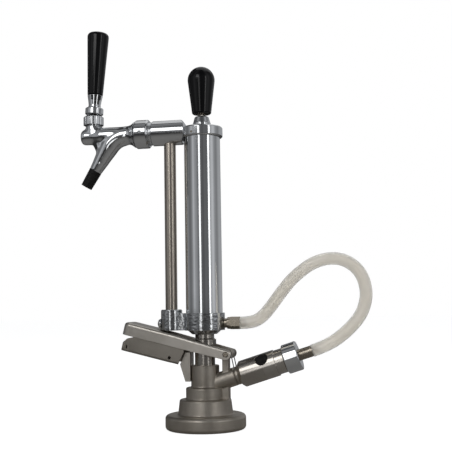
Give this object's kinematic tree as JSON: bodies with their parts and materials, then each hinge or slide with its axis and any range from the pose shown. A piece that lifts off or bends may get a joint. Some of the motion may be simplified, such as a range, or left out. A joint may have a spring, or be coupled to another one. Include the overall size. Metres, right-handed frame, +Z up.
{
  "type": "keg coupler",
  "caption": "Keg coupler with a lever-worked probe, a hand pump, a side tube to a lever tap with a black spout sleeve, and a clear looped gas hose.",
  "frame": {"origin": "middle of the round foot's lower face, on the axis of the probe and the pump", "axes": "+Z up along the probe and the pump; -X towards the lever's tip and the tap; +X towards the gas inlet and the hose"},
  "size_m": [0.2937, 0.0794, 0.4075],
  "materials": {
    "cast_steel": "satin cast stainless steel",
    "pressed_steel": "brushed pressed stainless steel",
    "machined_steel": "turned stainless steel",
    "tube_steel": "drawn stainless tube",
    "spring_steel": "spring wire",
    "chrome": "polished chrome plating",
    "nickel_brass": "nickel-plated brass",
    "black_plastic": "gloss black moulded plastic",
    "white_plastic": "low-friction white plastic",
    "black_rubber": "black rubber",
    "clear_hose": "clear flexible hose"
  },
  "bodies": {
    "root": {"coupler_body": "cast_steel", "body_gasket": "black_rubber", "neck_orings": "black_rubber", "catch_bracket": "pressed_steel", "bracket_screw": "machined_steel", "pivot_rivet": "nickel_brass", "lever_spring": "spring_steel", "gas_valve_body": "machined_steel", "check_spring": "spring_steel", "valve_seat": "machined_steel", "union_nut": "chrome", "nipple_seal": "black_rubber", "inlet_nipple": "nickel_brass", "air_hose": "clear_hose"},
    "lever": {"lever_handle": "pressed_steel", "drive_pins": "machined_steel", "latch_guide_pins": "machined_steel", "latch_spring": "spring_steel"},
    "latch_plate": {"latch": "pressed_steel", "catch_pin": "machined_steel"},
    "tower": {"probe": "machined_steel", "probe_seal": "black_rubber", "adapter_nut": "machined_steel", "pump_head": "chrome", "head_plug": "chrome", "cylinder_gasket": "black_rubber", "pump_cylinder": "chrome", "outlet_tail": "nickel_brass", "top_cap": "chrome", "cap_screw": "spring_steel", "packing_nut": "chrome", "rod_bush": "white_plastic", "beer_tube": "tube_steel", "manifold": "chrome", "coupling_nut": "chrome", "coupling_washer": "black_rubber", "tap_body": "chrome", "bonnet_nut": "chrome", "friction_washer": "white_plastic", "spout_sleeve": "black_rubber"},
    "ball": {"probe_ball": "machined_steel"},
    "plunger": {"pump_rod": "machined_steel", "piston": "black_plastic", "piston_cup": "black_rubber", "piston_nut": "machined_steel", "knob_insert": "nickel_brass", "pump_knob": "black_plastic"},
    "tap_handle_set": {"tap_lever": "machined_steel", "lever_collar": "chrome", "ferrule": "chrome", "tap_handle": "black_plastic"},
    "tap_valve": {"tap_shaft": "machined_steel", "shaft_seal": "black_rubber", "shaft_nut": "machined_steel"},
    "check_valve": {"check_poppet": "machined_steel"},
    "button": {"relief_button": "black_rubber"}
  },
  "joints": [
    {"name": "probe_slide", "type": "slide", "parent": "root", "child": "tower", "axis": [0, 0, 1], "range_m": [-0.01152, 0], "deforming": ["air_hose"]},
    {"name": "lever_hinge", "type": "hinge", "parent": "root", "child": "lever", "pos_m": [0.0238, 0, 0.073], "axis": [0, 1, 0], "range_deg": [-28, 0], "deforming": ["lever_spring"]},
    {"name": "latch_slide", "type": "slide", "parent": "lever", "child": "latch_plate", "axis": [-0.9703, 0, 0.2419], "range_m": [0, 0.0055], "stiffness_N_per_m": 400, "springref_m": -0.003, "deforming": ["latch_spring"]},
    {"name": "pump_slide", "type": "slide", "parent": "tower", "child": "plunger", "axis": [0, 0, 1], "range_m": [0, 0.15]},
    {"name": "tap_hinge", "type": "hinge", "parent": "tower", "child": "tap_handle_set", "pos_m": [-0.1153, 0, 0.309], "axis": [0, -1, 0], "range_deg": [0, 22]},
    {"name": "tap_shaft_slide", "type": "slide", "parent": "tower", "child": "tap_valve", "axis": [1, 0, 0], "range_m": [0, 0.00473]},
    {"name": "check_valve_slide", "type": "slide", "parent": "root", "child": "check_valve", "axis": [-0.9521, 0, -0.3057], "range_m": [0, 0.002], "stiffness_N_per_m": 150, "springref_m": -0.002, "deforming": ["check_spring"]},
    {"name": "button_slide", "type": "slide", "parent": "root", "child": "button", "axis": [0.1965, 0.766, -0.612], "range_m": [0, 0.0012], "stiffness_N_per_m": 500, "springref_m": -0.001},
    {"name": "ball_slide", "type": "slide", "parent": "tower", "child": "ball", "axis": [0, 0, 1], "range_m": [0, 0.0036]}
  ],
  "couplings": [
    {"joint": "lever_hinge", "follows": "probe_slide", "rad_per_m": 42.438},
    {"joint": "tap_shaft_slide", "follows": "tap_hinge", "m_per_rad": 0.012308}
  ]
}
